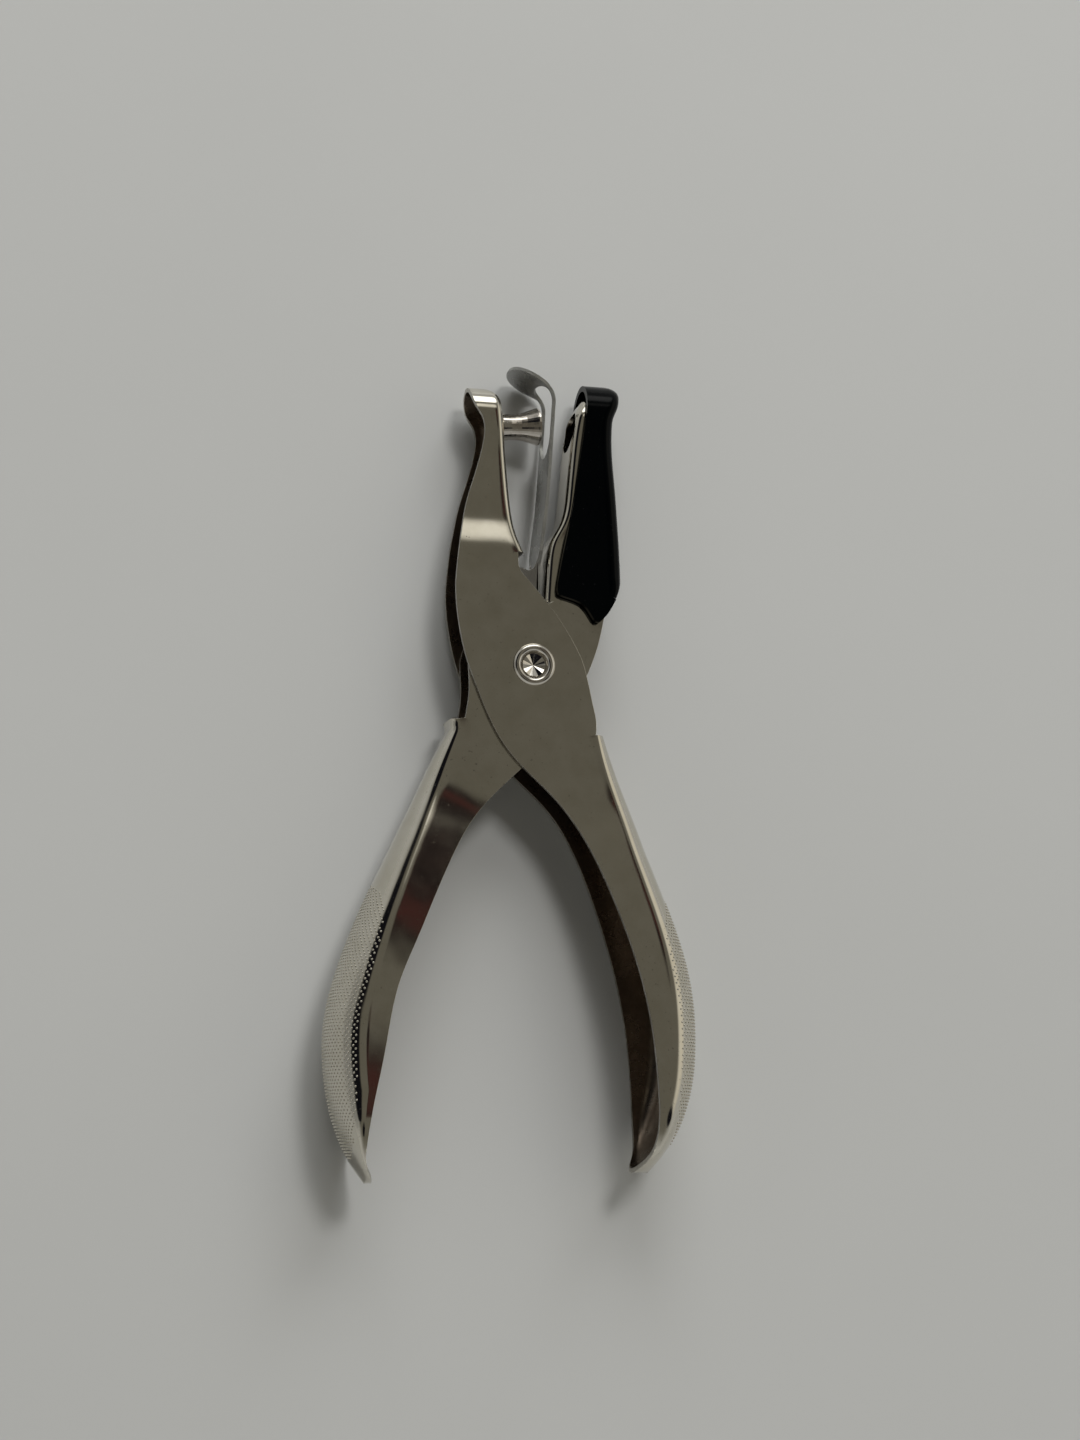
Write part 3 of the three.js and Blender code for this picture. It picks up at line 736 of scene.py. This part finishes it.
def strip_half(x, y):
    """Half width of the strip where its line passes through (x, y)."""
    face = float(np.interp(y, [17.8, 19.6, 47, 48.2], [EAR_HALF, STRIP_HALF, STRIP_HALF, 6.1]))
    if x >= 2.6 or y < 46:
        return min(face, STRIP_HALF)
    xs, zs = zip(*sorted(FOOT))
    return min(face, float(np.interp(x, xs, zs)))


def slot_half(x, y):
    """Half width of the slot where the strip's line passes through (x, y)."""
    if y < SLOT_FOOT - SLOT_HALF:
        return 0
    if y < SLOT_FOOT:
        return math.sqrt(max(SLOT_HALF ** 2 - (SLOT_FOOT - y) ** 2, 0))
    if x >= 2.9 or y < 45:
        return SLOT_HALF
    return SLOT_HALF * math.sqrt(max(1 - ((x - 2.9) / 1.6) ** 2, 0))


def strip_mesh():
    """The bent strip with its slot and tab."""
    line = strip_line()
    points, faces = [], []
    for x, y in line:
        wide, narrow = strip_half(x, y), slot_half(x, y)
        for side in (-1, 1):
            for k in range(STRIP_COLUMNS + 1):
                z = wide + (narrow - wide) * k / STRIP_COLUMNS
                points.append((x, y, side * z))
    row = 2 * (STRIP_COLUMNS + 1)
    for r in range(len(line) - 1):
        for side in (0, 1):
            for k in range(STRIP_COLUMNS):
                a = r * row + side * (STRIP_COLUMNS + 1) + k
                quad = (a, a + 1, a + 1 + row, a + row)
                faces.append(quad if side else tuple(reversed(quad)))
    obj = mesh_object("stripper_strip", points, faces, weld=0.003)
    towards_die = sum(p.normal.x * p.area for p in obj.data.polygons) > 0
    dress(obj, strip_steel, strip_steel, strip_edge)
    modifier(obj, "SOLIDIFY", thickness=STRIP * MM, offset=1 if towards_die else -1,
             use_even_offset=True, material_offset_rim=2)
    apply_all(obj)
    return obj


def ear_mesh(name, low, high):
    """One flat ear, from the strip's foot to a ring round the rivet."""
    outline = []
    for k in range(9):
        t = k / 8
        outline.append(((1 - t) ** 2 * 1.2 + 2 * t * (1 - t) * 0.9 - t * t * 0.6,
                        (1 - t) ** 2 * 19.6 + 2 * t * (1 - t) * 16.6 + t * t * 16.5))
    outline.append((-2, 17))
    for k in range(41):
        a = math.pi - 0.4 + k / 40 * (math.pi + 0.8)
        outline.append((EAR_RADIUS * math.cos(a), EAR_RADIUS * math.sin(a)))
    outline.append((1.2, 11.5))
    count = len(outline)
    points = [(x, y, z) for z in (low, high) for x, y in outline]
    faces = [tuple(range(count)), tuple(range(2 * count - 1, count - 1, -1))]
    for k in range(count):
        m = (k + 1) % count
        faces.append((k, m, count + m, count + k))
    obj = mesh_object(name, points, faces, weld=0.001)
    for polygon in obj.data.polygons:
        polygon.use_smooth = False
    drill(obj, RIVET_RADIUS + RUNNING_FIT, -10, 10)
    return obj


stripper = strip_mesh()
stripper.name = "stripper_strip"
soften(stripper, EDGE_ROUND["strip"])
finish_piece(stripper, "stripper_plate", "spring_strip", "stripper")
for name, low in (("stripper_front_ear", EAR_HALF - STRIP), ("stripper_rear_ear", -EAR_HALF)):
    ear = ear_mesh(name, low, low + STRIP)
    soften(ear, EDGE_ROUND["strip"])
    finish_piece(ear, "stripper_plate", "spring_strip", None, strip_steel)


# ---- Rivet ---------------------------------------------------------------------------------

RIVET_PROFILE = [
    (0.0, -5.25), (1.0, -5.25), (1.8, -5.23), (2.5, -5.15), (3.1, -5.0), (3.45, -4.8),
    (3.55, -4.68), (3.53, -4.65), (2.5, -4.65), (2.5, 4.65), (3.53, 4.65), (3.56, 4.72),
    (3.5, 4.9), (3.38, 5.1), (3.2, 5.24), (2.98, 5.31), (2.75, 5.31), (2.55, 5.24), (2.38, 5.1),
    (2.27, 4.92), (2.2, 4.6), (2.17, 4.1), (2.0, 4.0),
]
STAR_POINTS = 8
STAR_DEPTH = 0.13
RECESS_FLOOR = 3.95


def rivet_mesh():
    """A rolled rim round a coned recess with a crimped star, and a low dome behind."""
    sides = 96
    points, faces = [], []
    for radius, height in RIVET_PROFILE[1:]:
        for k in range(sides):
            a = 2 * math.pi * k / sides
            points.append((radius * math.cos(a), radius * math.sin(a), height))
    star_radius = RIVET_PROFILE[-1][0] - 0.04
    recess = []
    for share in (0.97, 0.12):
        first = len(points)
        for k in range(sides):
            a = 2 * math.pi * k / sides
            wave = abs((k * STAR_POINTS / sides) % 1 - 0.5) * 4 - 1
            height = RECESS_FLOOR + (4.55 - RECESS_FLOOR) * share + STAR_DEPTH * wave * share
            points.append((star_radius * share * math.cos(a), star_radius * share * math.sin(a),
                           height))
        recess.append(first)
    rings = len(points) // sides
    for r in range(rings - 1):
        for k in range(sides):
            m = (k + 1) % sides
            faces.append((r * sides + k, r * sides + m, (r + 1) * sides + m, (r + 1) * sides + k))
    points += [(0, 0, RIVET_PROFILE[0][1]), (0, 0, RECESS_FLOOR + 0.02)]
    base, floor_ = len(points) - 2, len(points) - 1
    for k in range(sides):
        m = (k + 1) % sides
        faces.append((m, k, base))
        faces.append((recess[1] + k, recess[1] + m, floor_))
    obj = mesh_object("rivet", points, faces, weld=0.0005)
    for polygon in obj.data.polygons:
        centre = polygon.center - PIVOT
        if math.hypot(centre.x, centre.y) < 0.9 * star_radius * MM and centre.z > 0:
            polygon.use_smooth = False
    return obj


rivet = rivet_mesh()
finish_piece(rivet, "punch_lever", "rivet_steel", "pivot_rivet", rivet_steel)


# ---- Return spring -------------------------------------------------------------------------

WIRE_RADIUS = 0.5
COIL_RADIUS = 4.1
COIL_HALF = 1.4
COIL_START, COIL_END = 24.5, 870


def spring_path():
    """The wire's middle line: a leg, the coil round the bush, and the other leg."""
    start, finish, steps = math.radians(COIL_START), math.radians(COIL_END), 120
    points = [(12.9, -18.8, -COIL_HALF), (10.7, -13.4, -COIL_HALF), (6, -3.2, -COIL_HALF),
              (5.0, -0.6, -COIL_HALF)]
    for k in range(steps + 1):
        t = k / steps
        a = start + (finish - start) * t
        points.append((COIL_RADIUS * math.cos(a), COIL_RADIUS * math.sin(a),
                       COIL_HALF * (2 * t - 1)))
    points += [(-4.6, 0.2, COIL_HALF), (-6.4, -3, COIL_HALF), (-12.1, -13, COIL_HALF),
               (-15.6, -19, COIL_HALF)]
    dense = [Vector(points[0])]
    for a, b in zip(points, points[1:]):
        a, b = Vector(a), Vector(b)
        pieces = max(int((b - a).length / 0.8), 1)
        dense += [a.lerp(b, k / pieces) for k in range(1, pieces + 1)]
    for _ in range(3):
        dense = ([dense[0]] + [(dense[i - 1] + 2 * dense[i] + dense[i + 1]) / 4
                               for i in range(1, len(dense) - 1)] + [dense[-1]])
    return dense


def tube(name, path, radius, sides=12):
    """A round wire along a list of close points."""
    points, faces = [], []
    across = Vector((0, 0, 1))
    for i, here in enumerate(path):
        way = (path[min(i + 1, len(path) - 1)] - path[max(i - 1, 0)]).normalized()
        across = (across - way * across.dot(way)).normalized()
        other = way.cross(across)
        for k in range(sides):
            a = 2 * math.pi * k / sides
            points.append(here + (across * math.cos(a) + other * math.sin(a)) * radius)
    for r in range(len(path) - 1):
        for k in range(sides):
            m = (k + 1) % sides
            a, b = r * sides + k, r * sides + m
            faces.append((a, b, b + sides, a + sides))
    faces.append(tuple(reversed(range(sides))))
    faces.append(tuple(range((len(path) - 1) * sides, len(path) * sides)))
    return mesh_object(name, [tuple(p) for p in points], faces, weld=0.0005)


spring = tube("return_spring", spring_path(), WIRE_RADIUS)
dress(spring, wire_steel)
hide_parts("torsion_spring")
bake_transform(spring)


# ---- CAD nodes that stay -------------------------------------------------------------------

for node, material in (("punch_pin", pin_steel), ("spacer_bush", wire_steel)):
    obj = frame["nodes"][node]
    dress(obj, material)
    soften(obj, 0.06, 2, 35)


# ---- Floor, light and camera ---------------------------------------------------------------

floor_mesh = bpy.data.meshes.new("floor")
FLOOR_HALF = 1.5
corners = [(-FLOOR_HALF, -FLOOR_HALF, 0), (FLOOR_HALF, -FLOOR_HALF, 0),
           (FLOOR_HALF, FLOOR_HALF, 0), (-FLOOR_HALF, FLOOR_HALF, 0)]
floor_mesh.from_pydata(corners, [], [(0, 1, 2, 3)])
floor = add_object("floor", floor_mesh)
rest_low = place(0, -75, -GRIP_HALF)
rest_high = place(0, 47, -COVER_HALF)
lean = math.atan2(rest_high.z - rest_low.z, rest_high.y - rest_low.y)
floor.matrix_world = Matrix.Translation(rest_low) @ Matrix.Rotation(lean, 4, "X")
material, n = new_material("pale table")
where = n.add("TexCoord").outputs["Object"]
tint = n.mix(n.remap(n.noise(6, 4, 0.5, where), 0.3, 0.7, 0, 1), rgba(0.55, 0.555, 0.548),
             rgba(0.58, 0.585, 0.578))
shader = n.add("BsdfPrincipled", {"Base Color": tint, "Roughness": 0.5})
n.add("OutputMaterial", {"Surface": shader.outputs["BSDF"]})
dress(floor, material)

world = bpy.data.worlds.new("room")
world.use_nodes = True
bpy.context.scene.world = world
n = Nodes(world.node_tree)
way = n.add("TexCoord").outputs["Generated"]
up = n.add("SeparateXYZ", {0: way}).outputs["Z"]
room = n.mix(n.add("MapRange", {"Value": up, "From Min": 0.3, "From Max": 0.85},
                   interpolation_type="SMOOTHSTEP").outputs["Result"],
             rgba(0.46, 0.46, 0.44), rgba(0.142, 0.134, 0.110))


def patch(room_, centre, radii, colour, soft=0.4):
    """Paints an oval of another colour on the room round a direction."""
    moved = n.add("VectorMath", {0: way, 1: centre}, operation="SUBTRACT").outputs["Vector"]
    scaled = n.add("VectorMath", {0: moved, 1: radii}, operation="DIVIDE").outputs["Vector"]
    far = n.add("VectorMath", {0: scaled}, operation="LENGTH").outputs["Value"]
    inside = n.add("MapRange", {"Value": far, "From Min": 1.0, "From Max": 1.0 - soft},
                   interpolation_type="SMOOTHSTEP").outputs["Result"]
    return n.mix(inside, room_, colour)


room = patch(room, (0.80, 0.28, 0.55), (0.32, 0.7, 0.38), rgba(0.72, 0.68, 0.58), 0.6)
night = rgba(0.006, 0.006, 0.008)
room = patch(room, (-0.95, 0.10, 0.30), (0.50, 0.60, 0.50), rgba(0.27, 0.27, 0.26), 0.6)
room = patch(room, (-0.42, 0.44, 0.78), (0.38, 0.28, 0.38), night, 0.35)
room = patch(room, (-0.66, 0.07, 0.70), (0.37, 0.36, 0.40), night, 0.35)
room = patch(room, (0.62, -0.30, 0.72), (0.26, 0.24, 0.30), night, 0.4)
room = patch(room, (-0.20, -0.38, 0.90), (0.26, 0.20, 0.25), night, 0.4)
room = patch(room, (0.10, 0.84, 0.55), (0.45, 0.22, 0.35), rgba(2.6, 2.6, 2.5), 0.4)
room = patch(room, (0.21, 0.50, 0.84), (0.20, 0.12, 0.22), rgba(0.98, 0.95, 0.86), 0.75)
bands = n.remap(n.noise(14, 3, 0.5, way), 0.38, 0.56, 0, 1)
ruddy = n.mix(bands, rgba(0.060, 0.022, 0.019), rgba(0.016, 0.012, 0.011))
room = patch(room, (0.32, 0.31, 0.89), (0.085, 0.13, 0.3), ruddy, 0.35)
room = patch(room, (0.15, 0.03, 0.99), (0.085, 0.14, 0.3), ruddy, 0.35)
background = n.add("Background", {"Color": room, "Strength": 1.0})
n.add("OutputWorld", {"Surface": background.outputs["Background"]})


def area_light(name, direction, distance, width, height, power, colour):
    """A rectangular lamp in a direction from the pivot, facing it."""
    data = bpy.data.lights.new(name, "AREA")
    data.shape = "RECTANGLE"
    data.size, data.size_y = width, height
    data.energy = power
    data.color = colour
    lamp = bpy.data.objects.new(name, data)
    bpy.context.scene.collection.objects.link(lamp)
    away = Vector(direction).normalized()
    lamp.matrix_world = (Matrix.Translation(place(0, 0, 0) + away * distance)
                         @ away.to_track_quat("Z", "Y").to_matrix().to_4x4())
    return lamp


# The lamps light the table; the steel mirrors the painted room instead of them.
window = area_light("window", (0.21, 0.485, 0.85), 1.8, 0.40, 0.36, 9.0, (1.0, 0.99, 0.97))
ceiling = area_light("ceiling", (0.15, 0.95, 0.50), 2.2, 1.8, 1.0, 26.0, (0.98, 0.99, 1.0))
for lamp in (window, ceiling):
    lamp.visible_glossy = False

CAMERA = (-97.2, -80.8, 398.5)
AIM = (2.15, -8.4, 0)
camera_data = bpy.data.cameras.new("camera")
camera_data.sensor_fit = "VERTICAL"
camera_data.sensor_height = 36
camera_data.lens = 62.55
camera = bpy.data.objects.new("camera", camera_data)
bpy.context.scene.collection.objects.link(camera)
eye, aim = place(*CAMERA), place(*AIM)
back = (eye - aim).normalized()
right = Vector((0, 1, 0)).cross(back).normalized()
upward = back.cross(right)
axes = Matrix((right, upward, back)).transposed().to_4x4()
camera.matrix_world = Matrix.Translation(eye) @ axes
camera_data.clip_start = 0.01
bpy.context.scene.camera = camera
bpy.context.scene.view_settings.view_transform = "Standard"
